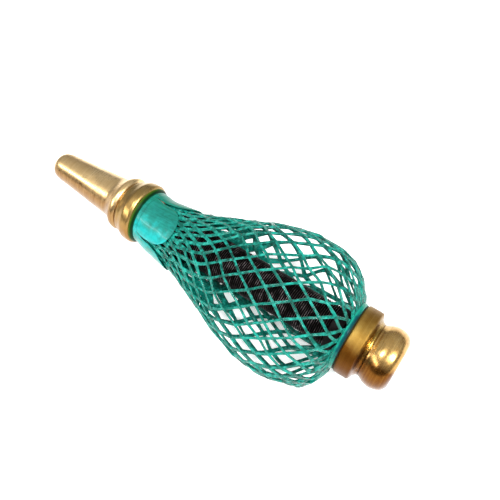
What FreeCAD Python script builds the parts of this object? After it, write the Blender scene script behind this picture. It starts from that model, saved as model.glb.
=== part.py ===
import FreeCAD, Part
import os
from math import pi, sin, cos, radians

# Hand blower with a netted bellows ("forge bellows"), lying along +X.
# Origin: centre of the blast nozzle's mouth. +X runs to the tail, +Z is up.
# All dimensions are in millimetres.

os.makedirs("parts", exist_ok=True)
V = FreeCAD.Vector

# ---------------------------------------------------------------- driving sizes
DATUM = 1.2               # stations below are counted from a face this far in front of the mouth
TAIL_END = 200.35         # end face of the tail knob, at the same count
# blast nozzle
NOZ_MOUTH_R = 7.35        # outside radius just behind the rounded mouth
NOZ_MOUTH_X = 5.5         # where the rounding of the mouth ends
NOZ_ROOT_R = 10.62        # outside radius where the taper meets the cove
NOZ_TAPER_END = 40.5
NOZ_END = 50.1            # shoulder face, in the bottom of the turned groove
BEAD_R = 14.13
BLAST_R = 2.6             # air bore
BLAST_LEN = 44.0          # station where the bore opens into the spigot
SPIGOT_R = 8.95           # spigots that screw in behind the shoulder faces
SOCKET_R = 9.0
NOZ_SPIGOT_END = 58.0
# front collar
COLLAR_R = 15.9
COLLAR_FRONT = 57.2
COLLAR_LAND = 59.3        # the cylinder ends here and a rounded shoulder follows
COLLAR_BACK = 60.8
SEAT_R = 11.2             # cylinder that the net's neck is crimped on
SEAT_END = 71.0
BARB_R = 8.4              # spigots that carry the two ends of the core
BARB_BORE_R = 5.0
FRONT_BARB_END = 84.0
CHAMBER_R = 7.6           # valve chambers
# seal, sleeve, crimp
SEAL_T = 2.05
SLEEVE_START = 62.95
SLEEVE_RING_END = 65.2
SLEEVE_TIP = 85.1
SLEEVE_T = 0.72
LOBE_HALF_W = 9.6
LOBES = 4
LOBE_TURN = 22.5          # turn of the first lobe from +Z towards -Y, degrees
# net bag: outside radius at stations along the axis
NET_T = 1.1
NET_NECK_END = 69.8       # the neck is a plain cylinder up to here
NET = [(63.7, 12.45), (NET_NECK_END, 12.45), (71.3, 12.72), (73.4, 13.35), (78.4, 14.4), (85.0, 15.65),
       (91.6, 17.6), (98.3, 20.2), (104.9, 22.67), (111.5, 25.23), (118.1, 27.76),
       (124.7, 30.37), (131.3, 32.19), (137.9, 33.68), (144.5, 34.34),
       (150.2, 34.24), (155.9, 33.45), (160.6, 32.26), (164.4, 30.46),
       (167.7, 28.24), (170.5, 25.33), (172.9, 21.4), (174.6, 17.3)]
SLEEVE = [(SLEEVE_START, 13.75), (66.6, 13.95), (72.7, 14.6), (78.4, 15.5), (85.4, 16.8)]
# core
CORE_R = 9.77
CORE_BORE_R = 8.5
CORE_START = 71.2
CORE_END = 174.4
# tail
TAIL_BARB_START = 158.0
TAIL_STEP = 174.6
TAIL_SEAT_R = 14.0
FLANGE_FRONT = 177.1
FLANGE_BACK = 184.4
FLANGE_R = 16.5
WAIST_X = 187.3
WAIST_R = 12.6
KNOB_R = 14.62
INTAKE_R = 2.5
# valves
DISC_R = 5.2
DISC_T = 1.05
STEM_R = 1.5
LIFT = 1.5
PORT_R = 3.4
# springs
RET_WIRE_R = 0.5
RET_MEAN_R = 6.6
RET_TURNS = 13.0
VALVE_WIRE_R = 0.3
VALVE_MEAN_R = 2.75


# ---------------------------------------------------------------- helpers
def revolve(path):
    """Turn a closed outline of (x, r) points, arcs and splines about the X axis.

    path is a list of items: ("l", [(x, r), ...]) straight runs,
    ("a", p_mid, p_end) an arc from the last point, ("s", [points]) a spline
    from the last point."""
    edges = []
    cur = None
    first = None
    for item in path:
        if item[0] == "l":
            for p in item[1]:
                q = V(p[0], 0, p[1])
                if cur is not None and (q - cur).Length > 1e-6:
                    edges.append(Part.LineSegment(cur, q).toShape())
                if cur is None:
                    first = q
                cur = q
        elif item[0] == "a":
            m = V(item[1][0], 0, item[1][1])
            q = V(item[2][0], 0, item[2][1])
            edges.append(Part.Arc(cur, m, q).toShape())
            cur = q
        elif item[0] == "s":
            pts = [cur] + [V(p[0], 0, p[1]) for p in item[1]]
            c = Part.BSplineCurve()
            c.interpolate(pts)
            edges.append(c.toShape())
            cur = pts[-1]
    if (cur - first).Length > 1e-6:
        edges.append(Part.LineSegment(cur, first).toShape())
    face = Part.Face(Part.Wire(edges))
    solid = face.revolve(V(0, 0, 0), V(1, 0, 0), 360)
    if solid.Volume < 0:
        solid.reverse()
    return solid


def ring(x0, x1, r_in, r_out):
    return revolve([("l", [(x0, r_in), (x0, r_out), (x1, r_out), (x1, r_in)])])


def rod(x0, x1, r):
    return Part.makeCylinder(r, x1 - x0, V(x0, 0, 0), V(1, 0, 0))


def o_ring(x, r_mid, r_wire):
    return Part.makeTorus(r_mid, r_wire, V(x, 0, 0), V(1, 0, 0))


def coil(x0, x1, r_mean, r_wire, turns):
    """A compression spring between two planes, its wire's centre line inset."""
    a = x0 + r_wire + 0.05
    b = x1 - r_wire - 0.05
    pitch = (b - a) / turns
    helix = Part.makeHelix(pitch, b - a, r_mean)
    wire_face = Part.Wire(Part.makeCircle(r_wire, V(r_mean, 0, 0), V(0, 1, 0)))
    body = Part.Wire(helix.Edges).makePipeShell([wire_face], True, True)
    body.rotate(V(0, 0, 0), V(0, 1, 0), 90)
    body.translate(V(a, 0, 0))
    return body


def fine_coil(x0, x1, r_mean, r_wire, turns):
    """A small compression spring of twelve-sided wire."""
    a = x0 + r_wire + 0.05
    b = x1 - r_wire - 0.05
    steps = int(turns * 16)
    pts = [V(r_mean * cos(2 * pi * turns * i / steps), r_mean * sin(2 * pi * turns * i / steps),
             (b - a) * i / steps) for i in range(steps + 1)]
    line = Part.BSplineCurve()
    line.interpolate(pts)
    corners = [V(r_mean + r_wire * cos(pi * k / 6), 0, r_wire * sin(pi * k / 6))
               for k in range(12)]
    section = Part.makePolygon(corners + [corners[0]])
    body = Part.Wire([line.toShape()]).makePipeShell([section], True, True)
    body.rotate(V(0, 0, 0), V(0, 1, 0), 90)
    body.translate(V(a, 0, 0))
    return body


def save(name, shape):
    solids = shape.Solids
    assert solids, name
    for s in solids:
        assert s.isValid() and s.Volume > 0, name
    if len(solids) == 1:
        shape = solids[0]
    shape.translate(V(-DATUM, 0, 0))
    shape.exportStep("parts/%s.step" % name)
    b = shape.BoundBox
    print("%-22s solids %d  vol %9.1f  x %7.2f..%7.2f  r %6.2f" %
          (name, len(solids), shape.Volume, b.XMin, b.XMax, max(b.ZMax, b.YMax)))
    return shape


# ---------------------------------------------------------------- blast nozzle
blast_nozzle = revolve([
    ("l", [(DATUM, BLAST_R), (DATUM, 4.3)]),
    ("s", [(DATUM + 0.17, 5.05), (DATUM + 0.6, 5.72), (DATUM + 1.3, 6.32), (DATUM + 2.2, 6.8),
           (DATUM + 3.2, 7.13), (NOZ_MOUTH_X, NOZ_MOUTH_R)]),
    ("l", [(NOZ_TAPER_END, NOZ_ROOT_R)]),
    ("s", [(41.4, 10.74), (42.4, 11.08), (43.5, 11.62), (44.6, 12.32), (45.6, 13.05), (46.6, 13.75),
           (47.7, BEAD_R), (48.7, 14.08), (49.5, 13.6), (NOZ_END, 12.9)]),
    ("l", [(NOZ_END, SPIGOT_R), (54.6, SPIGOT_R), (54.6, 7.6), (56.2, 7.6),
           (56.2, SPIGOT_R), (NOZ_SPIGOT_END, SPIGOT_R), (NOZ_SPIGOT_END, 6.2),
           (BLAST_LEN, BLAST_R)]),
])
nozzle_seal_ring = o_ring(55.4, 8.30, 0.66)

# ---------------------------------------------------------------- front collar
CB = NOZ_SPIGOT_END + 1.65       # bottom of the socket
front_collar = revolve([
    ("l", [(NOZ_END + 0.02, SOCKET_R), (NOZ_END + 0.02, 12.9)]),
    ("s", [(50.6, 13.35), (51.3, 13.85), (52.3, 14.2), (53.4, 14.5), (54.4, 14.92), (55.4, 15.45),
           (56.3, 15.8), (COLLAR_FRONT, COLLAR_R)]),
    ("l", [(COLLAR_LAND, COLLAR_R)]),
    ("s", [(59.8, 15.78), (60.35, 15.4), (COLLAR_BACK, 14.95)]),
    ("l", [(COLLAR_BACK, SEAT_R), (SEAT_END, SEAT_R), (SEAT_END, BARB_R - 0.25),
           (73.0, BARB_R - 0.25), (73.6, BARB_R), (75.5, BARB_R - 0.35),
           (76.1, BARB_R), (78.0, BARB_R - 0.35), (78.6, BARB_R),
           (FRONT_BARB_END - 1.5, BARB_R), (FRONT_BARB_END, BARB_R - 0.8),
           (FRONT_BARB_END, BARB_BORE_R), (69.9, BARB_BORE_R), (69.9, CHAMBER_R),
           (CB, CHAMBER_R), (CB, SOCKET_R)]),
])


# ---------------------------------------------------------------- valves
def cage(x0, x1, r_out):
    """Spoked plate: four ports round a guide hole."""
    c = ring(x0, x1, STEM_R + 0.08, r_out)
    for i in range(4):
        a = pi / 4 + i * pi / 2
        c = c.cut(Part.makeCylinder(1.35, x1 - x0 + 2,
                                    V(x0 - 1, 4.9 * cos(a), 4.9 * sin(a)), V(1, 0, 0)))
    return c


def seat(x0, x1, r_out):
    """Port plate with a raised lip on its low-x side."""
    return revolve([("l", [(x0, PORT_R), (x0 - 0.5, PORT_R), (x0 - 0.5, PORT_R + 0.8),
                           (x0, PORT_R + 0.9), (x0, r_out), (x1, r_out), (x1, PORT_R)])])


def disc(x1, stem_to):
    """Valve disc with its guide stem; x1 is its sealing face."""
    return revolve([("l", [(stem_to, 0), (stem_to, STEM_R - 0.3), (stem_to + 0.3, STEM_R),
                           (x1 - DISC_T, STEM_R), (x1 - DISC_T, DISC_R - 0.2),
                           (x1 - DISC_T + 0.2, DISC_R), (x1, DISC_R), (x1, 0)])])


OUT_SEAT = 67.6
outlet_valve_seat = seat(OUT_SEAT, 69.85, CHAMBER_R - 0.05)
outlet_valve_disc = disc(OUT_SEAT - 0.55, 57.4)
outlet_valve_cage = cage(NOZ_SPIGOT_END + 0.02, CB - 0.03, SPIGOT_R - 0.05)
outlet_valve_spring = fine_coil(CB, OUT_SEAT - 0.55 - DISC_T, VALVE_MEAN_R, VALVE_WIRE_R, 4.0)

IN_SEAT = 177.65
inlet_valve_seat = seat(IN_SEAT, 179.95, SPIGOT_R - 0.05)
inlet_valve_disc = disc(IN_SEAT - 0.55, 169.6)
inlet_valve_cage = cage(170.52, 171.9, CHAMBER_R - 0.05)
inlet_valve_spring = fine_coil(171.9, IN_SEAT - 0.55 - DISC_T, VALVE_MEAN_R, VALVE_WIRE_R, 2.0)

# ---------------------------------------------------------------- neck
collar_seal = revolve([
    ("l", [(COLLAR_BACK + 0.02, SEAT_R + 0.05), (COLLAR_BACK + 0.02, 14.7)]),
    ("s", [(COLLAR_BACK + 0.25, 14.82), (COLLAR_BACK + 0.9, 14.62), (COLLAR_BACK + 1.6, 14.1),
           (COLLAR_BACK + SEAL_T, 13.4)]),
    ("l", [(COLLAR_BACK + SEAL_T, SEAT_R + 0.05)]),
])

sleeve_shell = revolve([
    ("l", [(SLEEVE[0][0], SLEEVE[0][1] - SLEEVE_T), SLEEVE[0]]),
    ("s", SLEEVE[1:]),
    ("l", [(SLEEVE[-1][0], SLEEVE[-1][1] - SLEEVE_T)]),
    ("s", [(x, r - SLEEVE_T) for x, r in reversed(SLEEVE[:-1])]),
])
keep = rod(SLEEVE_START - 1, SLEEVE_RING_END, 30)
tip_x = SLEEVE_TIP - LOBE_HALF_W
for i in range(LOBES):
    a0 = V(SLEEVE_RING_END - 1, -LOBE_HALF_W, 0)
    a1 = V(tip_x, -LOBE_HALF_W, 0)
    a2 = V(SLEEVE_TIP, 0, 0)
    a3 = V(tip_x, LOBE_HALF_W, 0)
    a4 = V(SLEEVE_RING_END - 1, LOBE_HALF_W, 0)
    w = Part.Wire([Part.LineSegment(a0, a1).toShape(), Part.Arc(a1, a2, a3).toShape(),
                   Part.LineSegment(a3, a4).toShape(), Part.LineSegment(a4, a0).toShape()])
    tongue = Part.Face(w).extrude(V(0, 0, 30))
    tongue.rotate(V(0, 0, 0), V(1, 0, 0), LOBE_TURN + 360.0 / LOBES * i)
    keep = keep.fuse(tongue)
neck_sleeve = sleeve_shell.common(keep)

net_crimp_ring = ring(65.0, 70.0, 12.58, 13.1)


# ---------------------------------------------------------------- net bag
def net_section():
    """Outer line, then the inner line a strand's thickness inside it."""
    outer = NET
    inner = []
    n = len(NET)
    for i, (x, r) in enumerate(NET):
        j, k = max(i - 1, 0), min(i + 1, n - 1)
        dx, dr = NET[k][0] - NET[j][0], NET[k][1] - NET[j][1]
        h = (dx * dx + dr * dr) ** 0.5
        nx, nr = dr / h, -dx / h
        if i <= 1:
            nx, nr = 0.0, -1.0
        inner.append((x + NET_T * nx, r + NET_T * nr))
    return outer, inner


outer, inner = net_section()
net_bag = revolve([
    ("l", [inner[0], outer[0], outer[1]]),
    ("s", outer[2:]),
    ("l", [inner[-1]]),
    ("s", list(reversed(inner[1:-1]))),
])

# ---------------------------------------------------------------- core
core_tube = ring(CORE_START, CORE_END, CORE_BORE_R, CORE_R)
front_core_clamp = ring(73.5, 78.5, CORE_R + 0.08, CORE_R + 0.85)
rear_core_clamp = ring(168.0, 173.0, CORE_R + 0.08, CORE_R + 0.85)
return_spring = coil(FRONT_BARB_END, TAIL_BARB_START, RET_MEAN_R, RET_WIRE_R, RET_TURNS)

# ---------------------------------------------------------------- tail plug
tail_plug = revolve([
    ("l", [(TAIL_BARB_START, BARB_BORE_R), (TAIL_BARB_START, BARB_R - 0.8),
           (TAIL_BARB_START + 1.5, BARB_R), (163.4, BARB_R), (164.0, BARB_R - 0.35),
           (165.9, BARB_R), (166.5, BARB_R - 0.35), (168.4, BARB_R),
           (TAIL_STEP, BARB_R),
           (TAIL_STEP, TAIL_SEAT_R - 0.6), (TAIL_STEP + 0.6, TAIL_SEAT_R),
           (FLANGE_FRONT, TAIL_SEAT_R), (FLANGE_FRONT, 15.6),
           (FLANGE_FRONT + 0.7, FLANGE_R), (FLANGE_BACK - 0.3, FLANGE_R),
           (184.75, 15.7), (185.05, 14.9)]),
    ("s", [(185.45, 14.1), (185.95, 13.4), (186.6, 12.88), (WAIST_X - 0.02, WAIST_R)]),
    ("l", [(WAIST_X - 0.02, SOCKET_R), (IN_SEAT - 0.03, SOCKET_R),
           (IN_SEAT - 0.03, CHAMBER_R), (170.5, CHAMBER_R), (170.5, BARB_BORE_R)]),
])

rear_rim = revolve([("l", [(174.8, 15.0), (174.62, 16.2), (175.0, 16.55), (176.3, 16.35), (176.65, 16.0),
                           (176.65, 14.1)])])
rear_gasket = ring(176.7, 177.07, 14.08, 15.8)

# ---------------------------------------------------------------- tail knob
tail_knob = revolve([
    ("l", [(180.0, 6.0), (180.0, SPIGOT_R), (WAIST_X, SPIGOT_R), (WAIST_X, WAIST_R)]),
    ("s", [(188.3, 12.86), (189.3, 13.4), (190.6, 14.02), (192.2, 14.5), (193.8, KNOB_R),
           (195.4, 14.44), (197.0, 13.96), (198.3, 13.28), (199.3, 12.3), (200.0, 11.1)]),
    ("l", [(TAIL_END, 10.2), (TAIL_END, INTAKE_R), (190.0, INTAKE_R), (189.0, 5.2),
           (186.8, 5.2), (186.8, 6.0)]),
])
intake_screen = rod(186.0, 186.78, 5.95)
for k in range(7):
    rr = 0.0 if k == 0 else 3.3
    a = k * pi / 3
    intake_screen = intake_screen.cut(
        Part.makeCylinder(0.9, 3, V(185, rr * cos(a), rr * sin(a)), V(1, 0, 0)))

# ---------------------------------------------------------------- write
PARTS = [
    ("blast_nozzle", blast_nozzle), ("nozzle_seal_ring", nozzle_seal_ring),
    ("front_collar", front_collar), ("outlet_valve_seat", outlet_valve_seat),
    ("outlet_valve_disc", outlet_valve_disc), ("outlet_valve_cage", outlet_valve_cage),
    ("outlet_valve_spring", outlet_valve_spring), ("collar_seal", collar_seal),
    ("neck_sleeve", neck_sleeve), ("net_crimp_ring", net_crimp_ring),
    ("net_bag", net_bag), ("core_tube", core_tube),
    ("front_core_clamp", front_core_clamp), ("rear_core_clamp", rear_core_clamp),
    ("return_spring", return_spring), ("tail_plug", tail_plug),
    ("rear_rim", rear_rim), ("rear_gasket", rear_gasket),
    ("inlet_valve_seat", inlet_valve_seat), ("inlet_valve_disc", inlet_valve_disc),
    ("inlet_valve_cage", inlet_valve_cage), ("inlet_valve_spring", inlet_valve_spring),
    ("tail_knob", tail_knob), ("intake_screen", intake_screen),
]
for name, shape in PARTS:
    save(name, shape)
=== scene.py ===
import bpy
import math
import random
import numpy as np
from mathutils import Matrix, Vector


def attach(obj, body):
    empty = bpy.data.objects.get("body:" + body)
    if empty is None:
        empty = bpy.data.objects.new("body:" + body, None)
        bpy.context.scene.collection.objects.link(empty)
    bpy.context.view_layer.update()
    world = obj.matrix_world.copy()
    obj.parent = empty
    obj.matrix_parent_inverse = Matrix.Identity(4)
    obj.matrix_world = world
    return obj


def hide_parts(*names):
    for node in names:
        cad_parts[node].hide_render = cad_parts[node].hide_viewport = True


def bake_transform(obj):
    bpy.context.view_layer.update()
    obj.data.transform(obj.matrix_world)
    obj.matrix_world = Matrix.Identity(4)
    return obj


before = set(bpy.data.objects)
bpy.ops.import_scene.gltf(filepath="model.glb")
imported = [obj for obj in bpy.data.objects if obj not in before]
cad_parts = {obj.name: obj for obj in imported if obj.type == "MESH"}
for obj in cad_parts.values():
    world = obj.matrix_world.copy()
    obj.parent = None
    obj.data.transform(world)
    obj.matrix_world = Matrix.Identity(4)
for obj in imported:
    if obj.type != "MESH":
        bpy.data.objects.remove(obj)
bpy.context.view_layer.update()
MM = 0.001
DATUM = 0.0012    # stations in this file start this far in front of the mouth
rnd = random.Random(41)

# ------------------------------------------------------------------ camera
cam_data = bpy.data.cameras.new("camera")
cam = bpy.data.objects.new("camera", cam_data)
bpy.context.collection.objects.link(cam)
right = Vector((0.82295, 0.56811, 0.0))
up = Vector((-0.48045, 0.69597, 0.53366))
back = Vector((0.30318, -0.43918, 0.84570))
rot = Matrix((right, up, back)).transposed()
cam.matrix_world = Matrix.Translation((0.19941 - DATUM, -0.11067, 0.23668)) @ rot.to_4x4()
cam_data.sensor_width = 36.0
cam_data.lens = 41.76
cam_data.clip_start = 0.005
cam_data.clip_end = 20.0
cam_data.dof.use_dof = False
bpy.context.scene.camera = cam
bpy.context.scene.view_settings.view_transform = "Standard"
bpy.context.scene.view_settings.look = "None"
bpy.context.scene.view_settings.exposure = 0.0
bpy.context.scene.view_settings.gamma = 1.0

# ------------------------------------------------------------------ materials
class Nodes:
    """Small helper for writing a node material in a few lines."""

    def __init__(self, name):
        self.mat = bpy.data.materials.new(name)
        self.mat.use_nodes = True
        self.t = self.mat.node_tree
        self.bsdf = self.t.nodes["Principled BSDF"]
        self.out = self.t.nodes["Material Output"]

    def add(self, kind, **values):
        n = self.t.nodes.new(kind)
        for k, v in values.items():
            if k.startswith("_"):
                setattr(n, k[1:], v)
        return n

    def link(self, a, b):
        self.t.links.new(a, b)

    def coords(self, scale=(1, 1, 1)):
        tc = self.t.nodes.new("ShaderNodeTexCoord")
        mp = self.t.nodes.new("ShaderNodeMapping")
        mp.inputs["Scale"].default_value = scale
        self.link(tc.outputs["Object"], mp.inputs["Vector"])
        return mp.outputs["Vector"]

    def noise(self, scale, detail=3.0, rough=0.5, vec=None, stretch=(1, 1, 1)):
        n = self.t.nodes.new("ShaderNodeTexNoise")
        n.inputs["Scale"].default_value = scale
        n.inputs["Detail"].default_value = detail
        n.inputs["Roughness"].default_value = rough
        self.link(vec if vec is not None else self.coords(stretch), n.inputs["Vector"])
        return n.outputs["Fac"]

    def ramp(self, fac, stops):
        r = self.t.nodes.new("ShaderNodeValToRGB")
        els = r.color_ramp.elements
        while len(els) < len(stops):
            els.new(0.5)
        for e, (p, c) in zip(els, stops):
            e.position = p
            e.color = c if len(c) == 4 else (*c, 1)
        self.link(fac, r.inputs["Fac"])
        return r.outputs["Color"]

    def mix(self, fac, a, b, mode="MIX"):
        m = self.t.nodes.new("ShaderNodeMix")
        m.data_type = "RGBA"
        m.blend_type = mode
        for sock, v in ((m.inputs[0], fac), (m.inputs[6], a), (m.inputs[7], b)):
            if hasattr(v, "node"):
                self.link(v, sock)
            elif isinstance(v, (int, float)):
                sock.default_value = v
            else:
                sock.default_value = v if len(v) == 4 else (*v, 1)
        return m.outputs[2]

    def maprange(self, fac, a, b, c, d):
        m = self.t.nodes.new("ShaderNodeMapRange")
        for i, v in zip((1, 2, 3, 4), (a, b, c, d)):
            m.inputs[i].default_value = v
        self.link(fac, m.inputs[0])
        return m.outputs[0]

    def math(self, op, a, b=0.0):
        m = self.t.nodes.new("ShaderNodeMath")
        m.operation = op
        for i, v in enumerate((a, b)):
            if hasattr(v, "node"):
                self.link(v, m.inputs[i])
            else:
                m.inputs[i].default_value = v
        return m.outputs[0]

    def side(self):
        """-1 to 1 round the axis: which way the surface faces, +1 on the lower flank; the mask for the painted shade,
        reflection and highlight by side.
        """
        tc = self.t.nodes.new("ShaderNodeTexCoord")
        sep = self.t.nodes.new("ShaderNodeSeparateXYZ")
        self.link(tc.outputs["Object"], sep.inputs["Vector"])
        y, z = sep.outputs["Y"], sep.outputs["Z"]
        rad = self.math("SQRT", self.math("ADD", self.math("MULTIPLY", y, y), self.math("MULTIPLY", z, z)))
        num = self.math("ADD", self.math("MULTIPLY", y, -0.889), self.math("MULTIPLY", z, -0.457))
        return self.math("DIVIDE", num, rad)

    def bump(self, height, strength, distance, normal=None):
        b = self.t.nodes.new("ShaderNodeBump")
        b.inputs["Strength"].default_value = strength
        b.inputs["Distance"].default_value = distance
        self.link(height, b.inputs["Height"])
        if normal is not None:
            self.link(normal, b.inputs["Normal"])
        return b.outputs["Normal"]

    def set(self, **kw):
        names = {"color": "Base Color", "rough": "Roughness", "metal": "Metallic",
                 "normal": "Normal", "ior": "IOR", "coat": "Coat Weight",
                 "coat_rough": "Coat Roughness", "sheen": "Sheen Weight",
                 "trans": "Transmission Weight", "sss": "Subsurface Weight",
                 "alpha": "Alpha", "spec": "Specular IOR Level",
                 "aniso": "Anisotropic"}
        for k, v in kw.items():
            s = self.bsdf.inputs[names[k]]
            if hasattr(v, "node"):
                self.link(v, s)
            elif isinstance(v, (int, float)):
                s.default_value = v
            else:
                s.default_value = v if len(v) == 4 else (*v, 1)
        return self


def brass(name, light, mid, dark, stain, stain_lo, stain_hi, rough, marks, marks_d, pits=0.0, flank=None, blotch=1.0,
          bright_from=None, calm=1.0):
    """Turned brass: lathe marks round the axis, uneven tarnish, darker in patches.

    flank = (colour, from, to): painted shade and reflection, a darker colour that builds up towards the lower flank."""
    m = Nodes(name)
    cloud = m.noise(70.0, 4.0, 0.6)
    fine = m.noise(900.0, 3.0, 0.6)
    lathe = m.noise(1.0, 2.0, 0.7, stretch=(5200, 90, 90))
    band = m.noise(1.0, 2.0, 0.5, stretch=(900, 8, 8))
    base = m.ramp(cloud, [(0.50 - 0.20 * blotch ** 0.5, dark), (0.52, mid), (0.52 + 0.20 / blotch, light)])
    streak = m.mix(0.30, base, m.ramp(band, [(0.35, dark), (0.65, light)]))
    if flank:
        # painted shade and reflection: the colour turns darker towards the lower flank, with the lathe bands mixed in
        edge = m.math("ADD", m.side(), m.maprange(cloud, 0.3, 0.7, -0.22, 0.22))
        streak = m.mix(m.maprange(edge, flank[1], flank[2], 0.0, 1.0), streak, m.mix(m.maprange(band, 0.3, 0.7, 0.0, 0.35), flank[0], dark))
    spots = m.ramp(m.noise(260.0, 5.0, 0.7), [(stain_lo, (0, 0, 0)), (stain_hi, (1, 1, 1))])
    col = m.mix(spots, streak, stain)
    r1 = m.maprange(cloud, 0.3, 0.75, rough + 0.07, rough - 0.03)
    r2 = m.math("ADD", r1, m.maprange(fine, 0.3, 0.7, -0.04, 0.06))
    r3 = m.math("ADD", r2, m.maprange(lathe, 0.3, 0.7, -0.03, 0.05))
    if bright_from:
        tc = m.t.nodes.new("ShaderNodeTexCoord")
        sep = m.t.nodes.new("ShaderNodeSeparateXYZ")
        m.link(tc.outputs["Object"], sep.inputs["Vector"])
        a = bright_from - DATUM
        r3 = m.math("SUBTRACT", r3, m.maprange(sep.outputs["X"], a - 0.0004, a + 0.0004, 0.0, 0.22))
    n1 = m.bump(lathe, marks, marks_d)
    n2 = m.bump(fine, 0.10 * calm, 0.00005, n1)
    n3 = m.bump(cloud, 0.10 * calm, 0.0003, n2)
    if pits:
        pit = m.ramp(m.noise(1400.0, 4.0, 0.75), [(0.54, (1, 1, 1)), (0.66, (0, 0, 0))])
        n3 = m.bump(pit, pits, 0.00012, n3)
    m.set(color=col, metal=1.0, rough=r3, normal=n3, aniso=0.35)
    return m.mat


def teal_net(name):
    m = Nodes(name)
    cloud = m.noise(45.0, 3.0, 0.6)
    mid = m.noise(420.0, 4.0, 0.65)
    fine = m.noise(2600.0, 3.0, 0.6)
    base = m.ramp(cloud, [(0.30, (0.001, 0.042, 0.030)), (0.50, (0.001, 0.092, 0.067)),
                          (0.70, (0.003, 0.160, 0.119))])
    # random brighter spots mixed in: painted highlights on the twine, over its random tone
    col = m.mix(m.maprange(mid, 0.44, 0.70, 0.0, 0.80), base, (0.016, 0.390, 0.305))
    rough = m.math("ADD", m.maprange(mid, 0.3, 0.7, 0.14, 0.30),
                   m.maprange(fine, 0.3, 0.7, -0.05, 0.06))
    n1 = m.bump(mid, 0.45, 0.00025)
    n2 = m.bump(fine, 0.40, 0.00010, n1)
    m.set(color=col, rough=rough, normal=n2, coat=0.08, coat_rough=0.08, ior=1.45, spec=0.18)
    return m.mat


def teal_sleeve(name):
    m = Nodes(name)
    cloud = m.noise(60.0, 3.0, 0.55)
    blot = m.noise(230.0, 3.0, 0.6)
    streak = m.noise(1.0, 3.0, 0.6, stretch=(70, 900, 900))
    fine = m.noise(1800.0, 2.0, 0.5)
    # painted light: the film is darker on its upper side as painted shade, with a painted bright cyan highlight part
    # way down the lower flank, broken up by random blots
    side = m.side()
    painted_light_tone = m.math("ADD", side, m.maprange(blot, 0.3, 0.7, -0.30, 0.30))
    base = m.ramp(m.maprange(painted_light_tone, -1.1, 1.1, 0.0, 1.0),
                  [(0.10, (0.004, 0.150, 0.098)), (0.38, (0.004, 0.105, 0.080)), (0.54, (0.006, 0.160, 0.130)),
                   (0.74, (0.006, 0.320, 0.310)), (0.95, (0.008, 0.180, 0.140))])
    col = m.mix(m.maprange(streak, 0.42, 0.68, 0.0, 0.22), base, (0.025, 0.380, 0.340))
    rough = m.math("ADD", m.maprange(cloud, 0.3, 0.7, 0.27, 0.40),
                   m.maprange(streak, 0.3, 0.7, -0.03, 0.05))
    n1 = m.bump(streak, 0.08, 0.00015)
    n2 = m.bump(fine, 0.06, 0.00004, n1)
    m.set(color=col, rough=rough, normal=n2, coat=0.08, coat_rough=0.12, ior=1.45, spec=0.18,
          trans=0.0)
    m.bsdf.inputs["Subsurface Weight"].default_value = 0.20
    m.bsdf.inputs["Subsurface Radius"].default_value = (0.0004, 0.0016, 0.0013)
    m.bsdf.inputs["Subsurface Scale"].default_value = 1.0
    return m.mat


def plain_noise(name, a, b, rough, scale=300.0, bump=0.15, dist=0.0001, metal=0.0, coat=0.0):
    m = Nodes(name)
    n = m.noise(scale, 4.0, 0.6)
    f = m.noise(scale * 7, 3.0, 0.6)
    col = m.ramp(n, [(0.3, a), (0.7, b)])
    r = m.math("ADD", m.maprange(n, 0.3, 0.7, rough - 0.06, rough + 0.06),
               m.maprange(f, 0.3, 0.7, -0.03, 0.04))
    nn = m.bump(f, bump, dist * 0.5, m.bump(n, bump, dist))
    m.set(color=col, rough=r, normal=nn, metal=metal, coat=coat)
    return m.mat


def along(m, stops, jitter=0.0003):
    """Colour that changes along the axis; stops are (station in metres, colour)."""
    tc = m.t.nodes.new("ShaderNodeTexCoord")
    sep = m.t.nodes.new("ShaderNodeSeparateXYZ")
    m.link(tc.outputs["Object"], sep.inputs["Vector"])
    x = m.math("ADD", sep.outputs["X"], m.maprange(m.noise(300.0, 3.0, 0.6), 0.3, 0.7, -jitter, jitter))
    a, b = stops[0][0] - DATUM, stops[-1][0] - DATUM
    return m.ramp(m.maprange(x, a, b, 0.0, 1.0), [((p - DATUM - a) / (b - a), c) for p, c in stops])


def seal_rubber(name):
    m = Nodes(name)
    n = m.noise(420.0, 4.0, 0.6)
    f = m.noise(2400.0, 3.0, 0.6)
    # colour along the ring: olive at the front, near black in the middle as painted shade in the gap between collar and
    # sleeve, green at the back
    col = along(m, [(0.0607, (0.170, 0.155, 0.020)), (0.0611, (0.060, 0.095, 0.008)), (0.0616, (0.012, 0.052, 0.004)),
                    (0.0621, (0.001, 0.020, 0.003)), (0.0625, (0.001, 0.016, 0.005)), (0.0629, (0.006, 0.11, 0.06))], 0.00010)
    r = m.math("ADD", m.maprange(n, 0.3, 0.7, 0.30, 0.42), m.maprange(f, 0.3, 0.7, -0.03, 0.04))
    m.set(color=col, rough=r, normal=m.bump(f, 0.15, 0.00005, m.bump(n, 0.15, 0.0001)), spec=0.05)
    return m.mat


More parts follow.
